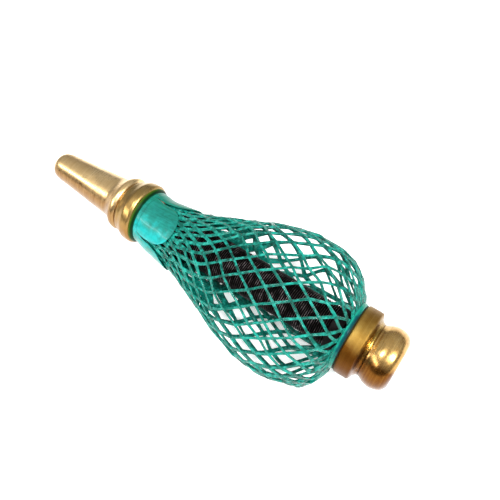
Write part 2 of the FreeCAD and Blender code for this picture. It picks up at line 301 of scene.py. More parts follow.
def rim_teal(name):
    """Moulded band: a painted highlight on the pale front lip, a painted dark reflection in the middle, green back
    edge; the middle is also painted darker than the upper and lower flanks.
    """
    m = Nodes(name)
    n = m.noise(160.0, 4.0, 0.6)
    f = m.noise(1500.0, 3.0, 0.6)
    # colour along the band: painted highlight at the front lip, painted dark reflection in the middle, green at the
    # back
    col = along(m, [(0.1746, (0.020, 0.340, 0.260)), (0.1752, (0.006, 0.220, 0.155)), (0.1757, (0.002, 0.080, 0.075)),
                    (0.1761, (0.001, 0.035, 0.050)), (0.1767, (0.002, 0.060, 0.050))], 0.00025)
    # painted reflection: darker in the middle of the band, lighter towards the upper and lower flanks
    side = m.math("ADD", m.math("ABSOLUTE", m.side()), m.maprange(n, 0.3, 0.7, -0.2, 0.2))
    col = m.mix(m.maprange(side, 0.45, 0.85, 0.0, 0.85), col, (0.006, 0.240, 0.165))
    r = m.math("ADD", m.maprange(n, 0.3, 0.7, 0.16, 0.28), m.maprange(f, 0.3, 0.7, -0.03, 0.04))
    m.set(color=col, rough=r, normal=m.bump(f, 0.12, 0.00005, m.bump(n, 0.15, 0.0001)), coat=0.03, coat_rough=0.12, spec=0.12)
    return m.mat


def core_black(name):
    """Ribbed rubber: black between the ribs, with a painted highlight that makes their crests greyer."""
    m = Nodes(name)
    n = m.noise(520.0, 4.0, 0.65)
    w = m.noise(1.0, 3.0, 0.6, stretch=(420, 260, 260))
    tc = m.t.nodes.new("ShaderNodeTexCoord")
    sep = m.t.nodes.new("ShaderNodeSeparateXYZ")
    m.link(tc.outputs["Object"], sep.inputs["Vector"])
    yy = m.math("MULTIPLY", sep.outputs["Y"], sep.outputs["Y"])
    zz = m.math("MULTIPLY", sep.outputs["Z"], sep.outputs["Z"])
    rad = m.math("SQRT", m.math("ADD", yy, zz))
    # painted highlight: the colour turns greyer where the rib radius is largest
    crest = m.maprange(rad, 0.00940, 0.00966, 0.0, 1.0)
    base = m.ramp(n, [(0.30, (0.0006, 0.0005, 0.0005)), (0.70, (0.002, 0.0016, 0.0016))])
    painted_crest_highlight = m.ramp(w, [(0.40, (0.003, 0.0024, 0.0024)), (0.54, (0.030, 0.024, 0.024)), (0.70, (0.17, 0.145, 0.147))])
    col = m.mix(crest, base, painted_crest_highlight)
    r = m.maprange(n, 0.3, 0.7, 0.66, 0.48)
    nn = m.bump(n, 0.3, 0.0001)
    m.set(color=col, rough=r, normal=nn, spec=0.05)
    return m.mat


# each flank colour below is painted shade and reflection on the lower flank of that brass part
M_BRASS = brass("brass_turned", (0.80, 0.600, 0.320), (0.66, 0.460, 0.215),
                (0.54, 0.350, 0.150), (0.34, 0.180, 0.060), 0.72, 0.90, 0.29, 0.10, 0.00003,
                flank=((0.195, 0.098, 0.032), 0.12, 0.62), calm=0.25)
M_COLLAR = brass("brass_turned_collar", (0.46, 0.335, 0.140), (0.36, 0.240, 0.082),
                 (0.24, 0.130, 0.034), (0.16, 0.070, 0.015), 0.66, 0.84, 0.28, 0.16, 0.00005,
                 flank=((0.250, 0.130, 0.038), 0.25, 0.80))
M_TAIL = brass("brass_worn", (0.70, 0.490, 0.200), (0.54, 0.330, 0.105),
               (0.31, 0.150, 0.030), (0.20, 0.062, 0.012), 0.60, 0.76, 0.23, 0.10, 0.00004, 0.0,
               flank=((0.088, 0.026, 0.003), -0.02, 0.40), blotch=0.9, calm=0.3)
M_PLUG = brass("brass_worn_flange", (0.42, 0.290, 0.080), (0.29, 0.180, 0.040),
               (0.19, 0.095, 0.014), (0.085, 0.030, 0.006), 0.61, 0.80, 0.46, 0.34, 0.00008, 0.25,
               flank=((0.088, 0.025, 0.002), -0.20, 0.40), blotch=0.6, bright_from=0.1848)
M_NET = teal_net("net_twine")
M_SLEEVE = teal_sleeve("sleeve_film")
M_RIM = rim_teal("rim_band")
M_SEAL = seal_rubber("seal_rubber")
M_GASKET = plain_noise("gasket_rubber", (0.004, 0.004, 0.004), (0.015, 0.014, 0.013), 0.55, 500.0, 0.25)
M_CORE = core_black("core_rubber")
M_STEEL = plain_noise("spring_steel", (0.42, 0.42, 0.43), (0.62, 0.61, 0.60), 0.28, 800.0, 0.15, metal=1.0)
M_VALVE = plain_noise("valve_rubber", (0.045, 0.020, 0.012), (0.09, 0.042, 0.026), 0.5, 600.0, 0.2)
M_CLAMP = plain_noise("clamp_black", (0.003, 0.003, 0.003), (0.010, 0.009, 0.009), 0.62, 300.0, 0.2)
M_CLAMP.node_tree.nodes["Principled BSDF"].inputs["Specular IOR Level"].default_value = 0.05
M_COPPER = plain_noise("crimp_copper", (0.62, 0.25, 0.16), (0.78, 0.40, 0.28), 0.30, 350.0, 0.2, metal=1.0)


# ------------------------------------------------------------------ mesh helpers
def new_object(name, verts, faces, mat, smooth=True):
    me = bpy.data.meshes.new(name)
    me.from_pydata([(v[0] - DATUM, v[1], v[2]) for v in verts], [], [tuple(f) for f in faces])
    me.materials.append(mat)
    me.polygons.foreach_set("use_smooth", [smooth] * len(me.polygons))
    me.update()
    me.validate()
    ob = bpy.data.objects.new(name, me)
    bpy.context.collection.objects.link(ob)
    return ob


def fillet(points, default=0.25, steps=4):
    """Outline points (x, r[, fillet radius]) to a dense outline with rounded corners."""
    n = len(points)
    out = []
    for i, p in enumerate(points):
        a = Vector(points[i - 1][:2])
        b = Vector(p[:2])
        c = Vector(points[(i + 1) % n][:2])
        f = p[2] if len(p) > 2 else default
        u, v = (a - b), (c - b)
        lu, lv = u.length, v.length
        if f <= 0 or lu < 1e-6 or lv < 1e-6:
            out.append(tuple(b))
            continue
        u.normalize(), v.normalize()
        ang = u.angle(v)
        if ang > math.radians(172):
            out.append(tuple(b))
            continue
        d = min(f / math.tan(ang / 2), lu * 0.45, lv * 0.45)
        p0, p1 = b + u * d, b + v * d
        for k in range(steps + 1):
            t = k / steps
            q = p0 * (1 - t) ** 2 + b * 2 * t * (1 - t) + p1 * t ** 2
            out.append(tuple(q))
    return out


def densify(points, step):
    """Adds points so that no stretch of a closed outline is longer than step."""
    out = []
    n = len(points)
    for i in range(n):
        a, b = Vector(points[i]), Vector(points[(i + 1) % n])
        k = max(1, int(math.ceil((b - a).length / step)))
        for j in range(k):
            out.append(tuple(a.lerp(b, j / k)))
    return out


def lathe(name, outline, mat, seg=144, shift=None):
    """Closed outline of (x, r) in mm, turned about X. shift(x, r, angle) may move points."""
    n = len(outline)
    verts, faces = [], []
    for i in range(seg):
        a = 2 * math.pi * i / seg
        ca, sa = math.cos(a), math.sin(a)
        for x, r in outline:
            if shift:
                dx, dr = shift(x, r, a)
                verts.append(((x + dx) * MM, (r + dr) * sa * MM, (r + dr) * ca * MM))
            else:
                verts.append((x * MM, r * sa * MM, r * ca * MM))
    for i in range(seg):
        j = (i + 1) % seg
        for k in range(n):
            l = (k + 1) % n
            faces.append((i * n + k, i * n + l, j * n + l, j * n + k))
    ob = new_object(name, verts, faces, mat)
    me = ob.data
    import bmesh
    bm = bmesh.new()
    bm.from_mesh(me)
    bmesh.ops.recalc_face_normals(bm, faces=bm.faces)
    bm.to_mesh(me)
    bm.free()
    me.polygons.foreach_set("use_smooth", [True] * len(me.polygons))
    return ob


def spline(points, per_mm=2.0):
    """Catmull-Rom through (x, r) points, returned as a dense list."""
    P = [Vector(p) for p in points]
    P = [P[0] * 2 - P[1]] + P + [P[-1] * 2 - P[-2]]
    out = []
    for i in range(1, len(P) - 2):
        k = max(2, int((P[i + 1] - P[i]).length * per_mm))
        for j in range(k):
            t = j / k
            out.append(tuple(0.5 * ((2 * P[i]) + (-P[i - 1] + P[i + 1]) * t
                       + (2 * P[i - 1] - 5 * P[i] + 4 * P[i + 1] - P[i + 2]) * t * t
                       + (-P[i - 1] + 3 * P[i] - 3 * P[i + 1] + P[i + 2]) * t ** 3)))
    out.append(tuple(P[-2]))
    return out


# monotone cubic interpolation (numpy only)
class Curve1:
    def __init__(self, pts):
        self.x = np.array([p[0] for p in pts], float)
        self.y = np.array([p[1] for p in pts], float)
        h = np.diff(self.x)
        d = np.diff(self.y) / h
        m = np.zeros(len(pts))
        m[0], m[-1] = d[0], d[-1]
        for i in range(1, len(pts) - 1):
            if d[i - 1] * d[i] <= 0:
                m[i] = 0
            else:
                w1, w2 = 2 * h[i] + h[i - 1], h[i] + 2 * h[i - 1]
                m[i] = (w1 + w2) / (w1 / d[i - 1] + w2 / d[i])
        self.m = m

    def __call__(self, x):
        x = np.clip(np.asarray(x, float), self.x[0], self.x[-1])
        i = np.clip(np.searchsorted(self.x, x) - 1, 0, len(self.x) - 2)
        h = self.x[i + 1] - self.x[i]
        t = (x - self.x[i]) / h
        return ((2 * t ** 3 - 3 * t ** 2 + 1) * self.y[i] + (t ** 3 - 2 * t ** 2 + t) * h * self.m[i]
                + (-2 * t ** 3 + 3 * t ** 2) * self.y[i + 1] + (t ** 3 - t ** 2) * h * self.m[i + 1])


# ------------------------------------------------------------------ brass parts
def arc(cx, cr, rad, a0, a1, n=8):
    return [(cx + rad * math.cos(math.radians(a0 + (a1 - a0) * k / n)),
             cr + rad * math.sin(math.radians(a0 + (a1 - a0) * k / n))) for k in range(n + 1)]


nozzle_out = [(44.0, 2.6), (1.45, 2.6), (1.2, 2.85), (1.2, 4.2)]
nozzle_out += spline([(1.22, 4.45), (1.37, 5.05), (1.8, 5.72), (2.5, 6.32), (3.4, 6.8), (4.4, 7.12), (5.5, 7.34)], 4.0)
nozzle_out += [(x, 7.34 + 0.0934 * (x - 5.5)) for x in np.linspace(7, 39.8, 18)]
nozzle_out += spline([(40.5, 10.61), (41.4, 10.73), (42.4, 11.07), (43.5, 11.61), (44.6, 12.31), (45.6, 13.04), (46.6, 13.74),
                      (47.7, 14.11), (48.7, 14.06), (49.5, 13.58), (50.02, 12.95)], 3.0)
nozzle_out += [(50.1, 12.7), (50.1, 9.0), (50.2, 8.93), (54.6, 8.93), (54.6, 7.6), (56.2, 7.6),
               (56.2, 8.93), (57.8, 8.93), (58.0, 8.7), (58.0, 6.3), (57.9, 6.1)]
nozzle = lathe("blast_nozzle_turned", densify(nozzle_out, 1.6), M_BRASS, 160)
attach(nozzle, "front"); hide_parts("blast_nozzle")

collar_out = [(50.12, 9.02), (50.12, 12.7)]
collar_out += spline([(50.18, 12.95), (50.6, 13.35), (51.3, 13.85), (52.3, 14.2), (53.4, 14.5), (54.4, 14.92), (55.4, 15.45),
                      (56.3, 15.8), (57.2, 15.88)], 3.0)
collar_out += [(58.3, 15.88), (59.2, 15.88)]
collar_out += spline([(59.45, 15.86), (59.8, 15.76), (60.35, 15.39), (60.74, 14.98)], 5.0)
collar_out += [(60.8, 14.8), (60.8, 11.4),
               (60.85, 11.2), (70.8, 11.2), (71.0, 11.0), (71.0, 8.2), (73.0, 8.15), (73.6, 8.4),
               (75.5, 8.05), (76.1, 8.4), (78.0, 8.05), (78.6, 8.4), (82.5, 8.4), (84.0, 7.6),
               (84.0, 5.1), (83.9, 5.0), (69.9, 5.0), (69.9, 7.6), (59.65, 7.6), (59.65, 9.0)]
collar = lathe("front_collar_turned", densify(collar_out, 1.5), M_COLLAR, 160)
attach(collar, "front"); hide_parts("front_collar")


def tail_dents(seed, amp, x0, x1):
    r = random.Random(seed)
    spots = [(r.uniform(x0, x1), r.uniform(0, 2 * math.pi), r.uniform(0.35, 0.95), r.uniform(0.3, 1.0)) for _ in range(34)]

    def f(x, rad, a):
        if not (x0 - 1.2 < x < x1 + 1.2) or rad < 9.5:
            return 0.0, 0.0
        d = 0.0
        for sx, sa, s, k in spots:
            da = (a - sa + math.pi) % (2 * math.pi) - math.pi
            q = ((x - sx) ** 2 + (rad * da) ** 2) / (s * s)
            if q < 6:
                d -= k * amp * math.exp(-q)
        return 0.0, d
    return f


plug_out = [(158.0, 5.1), (158.0, 7.6), (159.5, 8.4), (163.4, 8.4), (164.0, 8.05), (165.9, 8.4),
            (166.5, 8.05), (168.4, 8.4), (174.6, 8.4), (174.6, 13.4), (175.2, 14.0),
            (177.1, 14.0), (177.1, 15.4), (177.17, 15.75), (177.38, 16.12), (177.75, 16.4), (178.2, 16.48),
            (180.0, 16.48), (182.0, 16.48), (183.8, 16.48), (184.2, 16.4), (184.52, 16.15), (184.78, 15.7), (184.98, 15.15)]
plug_out += spline([(185.08, 14.8), (185.45, 14.1), (185.95, 13.4), (186.6, 12.88), (187.2, 12.62)], 4.0)
plug_out += [(187.28, 12.4), (187.28, 9.0), (177.62, 9.0), (177.62, 7.6), (170.5, 7.6), (170.5, 5.0)]
plug = lathe("tail_plug_turned", densify(plug_out, 0.9), M_PLUG, 192, tail_dents(7, 0.16, 184.4, 187.0))
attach(plug, "tail"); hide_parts("tail_plug")

knob_out = [(180.0, 6.1), (180.0, 8.8), (180.1, 8.93), (187.3, 8.93), (187.3, 12.4)]
knob_out += spline([(187.38, 12.6), (188.3, 12.86), (189.3, 13.4), (190.6, 14.02), (192.2, 14.48), (193.8, 14.6),
                    (195.4, 14.42), (197.0, 13.95), (198.3, 13.27), (199.3, 12.3), (200.0, 11.1), (200.28, 10.2)], 3.0)
knob_out += [(200.35, 9.6), (200.35, 8.0), (200.35, 5.0), (200.35, 3.0), (199.95, 2.5), (190.0, 2.5), (189.0, 5.2), (186.8, 5.2), (186.8, 6.0)]
knob = lathe("tail_knob_turned", densify(knob_out, 1.1), M_TAIL, 176, tail_dents(19, 0.018, 190.0, 199.0))
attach(knob, "tail"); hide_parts("tail_knob")

# ------------------------------------------------------------------ rings at both necks
seal = lathe("collar_seal_ring", [(60.83, 11.25), (60.83, 14.6)] + spline([(60.9, 14.76), (61.1, 14.82), (61.4, 14.76), (61.8, 14.55), (62.3, 14.15),
             (62.7, 13.65), (62.83, 13.4)], 8.0) + [(62.85, 13.2), (62.85, 11.25)], M_SEAL, 160)
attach(seal, "front"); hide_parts("collar_seal")

rim = lathe("rear_rim_band", fillet([(174.8, 15.0, 0.1), (174.6, 16.2, 0.3), (174.98, 16.6, 0.3), (176.3, 16.38, 0.3), (176.67, 16.0, 0.15),
            (176.67, 14.1, 0.1)], steps=5), M_RIM, 160)
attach(rim, "tail"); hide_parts("rear_rim")

gasket = lathe("rear_gasket_ring", [(176.7, 14.08), (176.7, 15.7), (176.78, 15.82), (176.89, 15.86), (177.0, 15.82),
               (177.07, 15.7), (177.07, 14.08)], M_GASKET, 144)
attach(gasket, "tail"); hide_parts("rear_gasket")

# ------------------------------------------------------------------ core
PITCH = 0.98
core_x0, core_x1 = 71.3, 174.3
core_seg, per_rib = 96, 10
n_ring = int((core_x1 - core_x0) / PITCH * per_rib)
verts, faces = [], []
rib_gain = [1.0 + 0.9 * rnd.uniform(-1, 1) for _ in range(200)]
for i in range(n_ring + 1):
    x = core_x0 + (core_x1 - core_x0) * i / n_ring
    for k in range(core_seg):
        a = 2 * math.pi * k / core_seg
        ph = (x - core_x0) / PITCH - a / (2 * math.pi)
        g = rib_gain[int(max(ph, 0)) % 200]
        c = 0.5 - 0.5 * math.cos(2 * math.pi * ph)
        r = 9.02 + 0.70 * (c ** 1.25) * (0.93 + 0.07 * g)
        if x < core_x0 + 0.4 or x > core_x1 - 0.4:
            r = 9.5
        verts.append((x * MM, r * math.sin(a) * MM, r * math.cos(a) * MM))
for i in range(n_ring):
    for k in range(core_seg):
        l = (k + 1) % core_seg
        faces.append((i * core_seg + k, i * core_seg + l, (i + 1) * core_seg + l, (i + 1) * core_seg + k))
base = len(verts)
m_in = 40
for i in range(m_in + 1):
    x = core_x0 + (core_x1 - core_x0) * i / m_in
    for k in range(core_seg):
        a = 2 * math.pi * k / core_seg
        verts.append((x * MM, 8.5 * math.sin(a) * MM, 8.5 * math.cos(a) * MM))
for i in range(m_in):
    for k in range(core_seg):
        l = (k + 1) % core_seg
        faces.append((base + i * core_seg + k, base + (i + 1) * core_seg + k, base + (i + 1) * core_seg + l, base + i * core_seg + l))
for k in range(core_seg):
    l = (k + 1) % core_seg
    faces.append((k, base + k, base + l, l))
    e0, e1 = n_ring * core_seg, base + m_in * core_seg
    faces.append((e0 + k, e0 + l, e1 + l, e1 + k))
core = new_object("core_ribbed", verts, faces, M_CORE)
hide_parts("core_tube")
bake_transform(core)

# ------------------------------------------------------------------ springs
def tube(path, radius, sides, closed_caps=True, flat=None):
    """Round tube along points (Vectors in mm). flat is not used."""
    verts, faces = [], []
    n = len(path)
    P = [Vector(p) for p in path]
    T = []
    for i in range(n):
        t = (P[min(i + 1, n - 1)] - P[max(i - 1, 0)])
        T.append(t.normalized())
    ref = Vector((1, 0, 0)) if abs(T[0].x) < 0.8 else Vector((0, 0, 1))
    nrm = (ref - ref.dot(T[0]) * T[0]).normalized()
    for i in range(n):
        nrm = (nrm - nrm.dot(T[i]) * T[i]).normalized()
        bi = T[i].cross(nrm)
        for k in range(sides):
            a = 2 * math.pi * k / sides
            verts.append((P[i] + nrm * math.cos(a) * radius + bi * math.sin(a) * radius) * MM)
    for i in range(n - 1):
        for k in range(sides):
            l = (k + 1) % sides
            faces.append((i * sides + k, i * sides + l, (i + 1) * sides + l, (i + 1) * sides + k))
    if closed_caps:
        faces.append(tuple(reversed(range(sides))))
        faces.append(tuple((n - 1) * sides + k for k in range(sides)))
    return verts, faces


def coil_piece(name, x0, x1, r, wire, turns, node, dead=0.9):
    pts = []
    total = turns
    n = int(total * 28)
    for i in range(n + 1):
        u = i / n * total
        # closed end turns
        g = lambda t: t
        if u < dead:
            x = u / dead * wire * 2.05
        elif u > total - dead:
            x = (x1 - x0 - 2 * wire) - (total - u) / dead * wire * 2.05
        else:
            a0, a1 = wire * 2.05, (x1 - x0 - 2 * wire) - wire * 2.05
            x = a0 + (a1 - a0) * (u - dead) / (total - 2 * dead)
        a = 2 * math.pi * u
        pts.append((x0 + wire + x, r * math.sin(a), r * math.cos(a)))
    v, f = tube(pts, wire, 10)
    ob = new_object(name, v, f, M_STEEL)
    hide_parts(node)
    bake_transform(ob)
    return ob


coil_piece("return_spring_coil", 84.05, 157.95, 6.6, 0.5, 15, "return_spring")
coil_piece("outlet_spring_coil", 59.75, 65.9, 2.75, 0.3, 4.5, "outlet_valve_spring")
coil_piece("inlet_spring_coil", 172.0, 175.95, 2.75, 0.3, 3.2, "inlet_valve_spring")

# ------------------------------------------------------------------ net
NET = [(62.0, 12.35), (66.0, 12.40), (70.0, 12.50), (73.0, 13.30), (78.4, 14.35), (85.0, 15.65),
       (91.6, 17.6), (98.3, 20.2), (104.9, 22.67), (111.5, 25.23), (118.1, 27.76),
       (124.7, 30.37), (131.3, 32.19), (137.9, 33.68), (144.5, 34.34),
       (150.2, 34.24), (155.9, 33.45), (160.6, 32.26), (164.4, 30.46),
       (167.7, 28.24), (170.5, 25.33), (172.6, 21.9), (173.9, 18.6), (174.9, 16.1), (175.7, 15.3)]
net_r = Curve1(NET)
ROWS = [64.0, 68.0, 73.0, 78.2, 83.4, 88.6, 94.0, 100.0, 105.6, 110.5, 115.6, 121.0, 127.2, 133.8, 140.0,
        146.4, 152.4, 158.7, 164.9, 170.2, 173.6, 175.5]
NPHASE = 14
N = 25
VIEW = math.radians(25.06)       # side the net is laid out from, measured from +Z towards -Y
STEP = 2 * math.pi / N
SPREAD = Curve1([(60, 1.0), (76, 0.9), (84, 0.72), (94, 0.77), (100, 0.88), (105.6, 0.99), (110.5, 1.09), (115.6, 1.18),
                 (121, 1.19), (127, 1.06), (134, 1.02), (140, 0.98), (153, 0.99), (159, 1.05), (165, 1.02), (171, 1.1),
                 (177, 1.0)])
PHASE = Curve1([(60, 2.0), (93, 0.2), (100, 0.9), (106, 0.8), (111, 0.0), (116, -0.8), (127, -0.7), (134, -1.3), (140, -1.8), (152, -2.4),
                (165, -3.0), (177, -2.6)])
SKEW = Curve1([(60, 0.0), (78, -1.0), (94, -2.4), (106, -2.4), (112, -1.4), (120, -0.6), (127, 1.6), (134, 2.8),
               (160, 2.8), (166, 1.4), (174, 0.2), (177, 0.0)])
# bonds on the side that lies uppermost: row -> {half step: (x, turn in degrees)}
BONDS = {
    6: {-4: (94.8, -23.7), -2: (93.7, -11.6), 0: (93.6, -0.2), 2: (94.4, 10.0)},
    7: {-3: (100.3, -18.3), -1: (100.0, -5.3), 1: (99.4, 7.2)},
    8: {-4: (106.1, -27.1), -2: (105.9, -13.5), 0: (105.7, 0.8), 2: (104.6, 15.7)},
    9: {-3: (110.7, -22.5), -1: (110.6, -8.0), 1: (110.2, 7.9), 3: (109.8, 24.5)},
    10: {-2: (115.3, -16.7), 0: (115.7, -1.2), 2: (115.4, 17.5)},
    11: {-1: (121.0, -8.7), 1: (121.0, 8.1), 3: (120.2, 26.1)},
    12: {-2: (126.8, -15.6), 0: (127.2, -0.7), 2: (127.6, 14.8)},
    13: {-1: (133.2, -8.7), 1: (134.4, 6.4)},
    14: {-2: (139.1, -15.4), 0: (140.1, -1.8), 2: (140.5, 12.4)},
    15: {-1: (146.0, -9.2), 1: (146.7, 4.9), 3: (147.1, 19.9)},
    16: {-2: (151.5, -16.6), 0: (152.6, -2.5), 2: (152.9, 11.8)},
    17: {-1: (158.0, -10.3), 1: (158.9, 4.7), 3: (159.5, 20.4)},
    18: {-2: (164.6, -16.1), 0: (164.8, -3.2), 2: (164.6, 12.4)},
    19: {-1: (169.7, -11.5), 1: (170.2, 4.7)},

}
jr = random.Random(1234)
jit = {}
for j in range(len(ROWS)):
    for m in range(2 * N):
        quiet = 0.25 if j <= 2 or j >= len(ROWS) - 2 else 1.0
        jit[(j, m)] = (jr.gauss(0, 0.30) * quiet, jr.gauss(0, 0.012) * quiet, jr.gauss(0, 0.14) * quiet)


def ease(a, b, x):
    u = min(max((x - a) / (b - a), 0.0), 1.0)
    return u * u * (3 - 2 * u)


# how the far side packs together: angle from the far side's middle before and after, degrees
BUNCH_LOW = Curve1([(0, 0), (18, 14.5), (40, 21.0), (66, 31.0), (78, 55.0), (90, 90)])
BUNCH_TOP = Curve1([(0, 0), (18, 14.5), (38, 21.0), (60, 32.0), (74, 54.0), (90, 90)])


EYE = Vector((199.41, -110.67, 236.68))    # where the bag is looked at from
# how the far side is gathered next to the core, degrees from its middle before and after
GATHER = Curve1([(0, 0), (18, 16.0), (28, 21.2), (38, 30.2), (50, 46.0), (62, 61.0), (90, 90)])


def behind(x, th):
    """Far side bond that lies straight behind a near one, where the two nets lie over each other."""
    p = surface(x, th, -0.4)
    d = (p - EYE).normalized()

    def outside(s):
        q = p + d * s
        dy, dz = lie(q.x)
        return math.hypot(q.y - dy, q.z - dz) - float(net_r(min(max(q.x, 62.0), 175.7)))
    s, step = 2.0, 1.5
    while s < 90 and outside(s) > 0:
        s += step
    if s >= 90:
        return None
    while s < 110 and outside(s) <= 0:
        s += step
    a, b = s - step, s
    for _ in range(12):
        m = 0.5 * (a + b)
        if outside(m) > 0:
            b = m
        else:
            a = m
    q = p + d * a
    dy, dz = lie(q.x)
    t = math.atan2(-(q.y - dy), q.z - dz) - VIEW
    return q.x, math.atan2(math.sin(t), math.cos(t))


CACHE = {}


def node_at(j, half):
    """Bond of row j at half step half: (x, turn from the uppermost side, extra radius)."""
    h = half % (2 * N)
    if h > N:
        h -= 2 * N
    if (j, h) not in CACHE:
        CACHE[(j, h)] = node_one(j, h)
    x, th, dr = CACHE[(j, h)]
    return x, th + (half - h) * STEP / 2, dr


def node_one(j, h):
    x, th, dr = node_free(j, h)
    k = ease(102.0, 117.0, x) * (1 - ease(160.0, 169.0, x))
    if abs(h) > N / 2 and k > 0:
        side = 1 if h > 0 else -1
        nx, nth, ndr = node_free(j, side * (N - abs(h) - 1))
        hit = behind(nx, nth)
        if hit:
            bx, bth = hit
            if side * bth < 0:
                bth += side * 2 * math.pi
            u = side * (side * math.pi - bth)
            g = math.copysign(math.radians(float(GATHER(min(abs(math.degrees(u)), 90.0)))), u) if abs(u) < math.pi / 2 else u
            bth = side * (math.pi - g)
            x, th = x + (bx - x) * k, th + (bth - th) * k
    return x, th, dr


def node_free(j, half):
    """The same before the far side is laid behind the near side."""
    x = ROWS[j]
    dx, da, dr = jit[(j, half % (2 * N))]
    h = half % (2 * N)
    if h > N:
        h -= 2 * N
    if j in BONDS and h in BONDS[j]:
        bx, bd = BONDS[j][h]
        return bx, math.radians(bd) + (half - h) * STEP / 2, dr
    th = half * STEP / 2
    b = float(SPREAD(x)) - 1.0
    ph = math.radians(float(PHASE(x))) * (0.5 + 0.5 * math.cos(th))
    x2 = x + float(SKEW(x)) * math.sin(th)
    th = th + 0.5 * b * math.sin(2 * th) + ph
    # the loose net bunches up under the core on its far side
    turns = round(th / (2 * math.pi))
    a = th - turns * 2 * math.pi
    if abs(a) > math.pi / 2:
        under = 180.0 - math.degrees(abs(a))
        packed = float((BUNCH_LOW if a > 0 else BUNCH_TOP)(under))
        k = ease(96.0, 122.0, x) * (1 - 0.6 * ease(164.0, 174.0, x))
        a = math.copysign(math.pi - math.radians(under + (packed - under) * k), a)
        th = a + turns * 2 * math.pi
    return x2 + dx, th + da, dr


def lie(x):
    """How far the bag has settled sideways and down at x."""
    k = ease(62.0, 72.0, x) * (1 - ease(170.5, 175.4, x))
    return -1.18 * k, -0.60 * k


def lean(x, th):
    """How far the rear of the bag leans back at x, more on its lower side."""
    return ease(160.0, 167.0, x) * (1 - ease(172.0, 175.4, x)) * (0.4 + 1.1 * math.sin(th))


def surface(x, th, off):
    """Point of the bag, off outside its outer line."""
    r = float(net_r(x)) + off
    a = VIEW + th
    dy, dz = lie(x)
    return Vector((x + lean(x, th), -r * math.sin(a) + dy, r * math.cos(a) + dz))


def cat(p0, p1, p2, p3, t, tension=0.5):
    m1, m2 = (p2 - p0) * tension, (p3 - p1) * tension
    return ((2 * t ** 3 - 3 * t ** 2 + 1) * p1 + (t ** 3 - 2 * t ** 2 + t) * m1
            + (-2 * t ** 3 + 3 * t ** 2) * p2 + (t ** 3 - t ** 2) * m2)


W = 1.16          # ribbon width
TH = 0.86         # ribbon thickness
# ribbon section: two rounded plies with a groove between, (across, out)
SECTION = [(-0.50, 0.00), (-0.43, 0.34), (-0.25, 0.50), (-0.10, 0.38), (0.0, 0.22), (0.10, 0.38), (0.25, 0.50),
           (0.43, 0.34), (0.50, 0.00), (0.36, -0.40), (0.0, -0.50), (-0.36, -0.40)]
verts, faces = [], []
J = len(ROWS)
for fam in (0, 1):
    for s in range(N):
        knots = []
        for j in range(J):
            k = j - NPHASE
            half = 2 * s + (k if fam == 0 else -k)
            x, th, dr = node_at(j, half)
            knots.append(Vector((x, th, dr)))
        wr = random.Random(900 + fam * 100 + s)
        wav = [wr.uniform(0, 2 * math.pi) for _ in range(3)]
        tw0 = wr.uniform(-0.25, 0.25)
        pts = []
        for j in range(J - 1):
            p0 = knots[max(j - 1, 0)]
            p1, p2 = knots[j], knots[j + 1]
            p3 = knots[min(j + 2, J - 1)]
            sub = max(3, int((p2.x - p1.x) * 1.55))
            for q in range(sub):
                t = q / sub
                c = cat(p0, p1, p2, p3, t, 0.5)
                # straight between bonds, with a short turn at each bond
                lin = p1.lerp(p2, t)
                mixf = 0.55
                th = c.y * (1 - mixf) + lin.y * mixf
                bow = math.sin(math.pi * t)
                # family 0 passes outside between bonds, family 1 a little inside
                off = c.z - TH * 0.55 + (0.12 if fam == 0 else -0.12) * (1.0)
                off += -0.10 * bow
                pts.append((c.x, th, off, j + t))
        k = knots[-1]
        pts.append((k.x, k.y, k.z - TH * 0.55, J - 1.0))
        P = [surface(a, b, c) for a, b, c, d in pts]
        n = len(P)
        base = len(verts)
        for i in range(n):
            t = (P[min(i + 1, n - 1)] - P[max(i - 1, 0)]).normalized()
            x = P[i].x
            dy, dz = lie(x)
            out = Vector((0.0, P[i].y - dy, P[i].z - dz)).normalized()
            sl = (float(net_r(x + 0.3)) - float(net_r(x - 0.3))) / 0.6
            nv = (out - Vector((sl, 0, 0)))
            nv = (nv - nv.dot(t) * t).normalized()
            bi = t.cross(nv)
            tw = tw0 + 0.30 * math.sin(wav[0] + pts[i][3] * 1.9) + 0.14 * math.sin(wav[1] + pts[i][3] * 5.3)
            bond = math.cos(math.pi * pts[i][3]) ** 2
            under = 0.5 - 0.5 * (out.y * -math.sin(VIEW) + out.z * math.cos(VIEW))
            full = 1 - ease(92.0, 122.0, x) + 1.8 * ease(161.0, 172.0, x) * (0.25 + 0.75 * min(1.0, 1.6 * under))
            flank = max(0.0, 1 - (2 * under - 1) ** 2) ** 2
            w = W * (1.0 + 0.50 * full + 1.25 * under ** 6 * ease(92.0, 115.0, x) + (0.62 + 0.50 * ease(152.0, 164.0, x)) * flank * ease(96.0, 118.0, x)
                     + 2.0 * ease(0.30, 0.75, under) * (1 - ease(106.0, 128.0, x))) * (0.98 + 0.09 * math.sin(wav[2] + pts[i][3] * 3.1) + 0.16 * bond ** 4)
            h = TH
            ct, st = math.cos(tw), math.sin(tw)
            for (u, v) in SECTION:
                a, b = u * w, v * h
                verts.append((P[i] + bi * (a * ct - b * st) + nv * (a * st + b * ct)) * MM)
        m = len(SECTION)
        for i in range(n - 1):
            for q in range(m):
                l = (q + 1) % m
                faces.append((base + i * m + q, base + i * m + l, base + (i + 1) * m + l, base + (i + 1) * m + q))
        faces.append(tuple(base + q for q in reversed(range(m))))
        faces.append(tuple(base + (n - 1) * m + q for q in range(m)))
net = new_object("net_strands", verts, faces, M_NET)
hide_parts("net_bag")
import bmesh
bm = bmesh.new(); bm.from_mesh(net.data)
bmesh.ops.recalc_face_normals(bm, faces=bm.faces)
bm.to_mesh(net.data); bm.free()
net.data.polygons.foreach_set("use_smooth", [True] * len(net.data.polygons))
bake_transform(net)

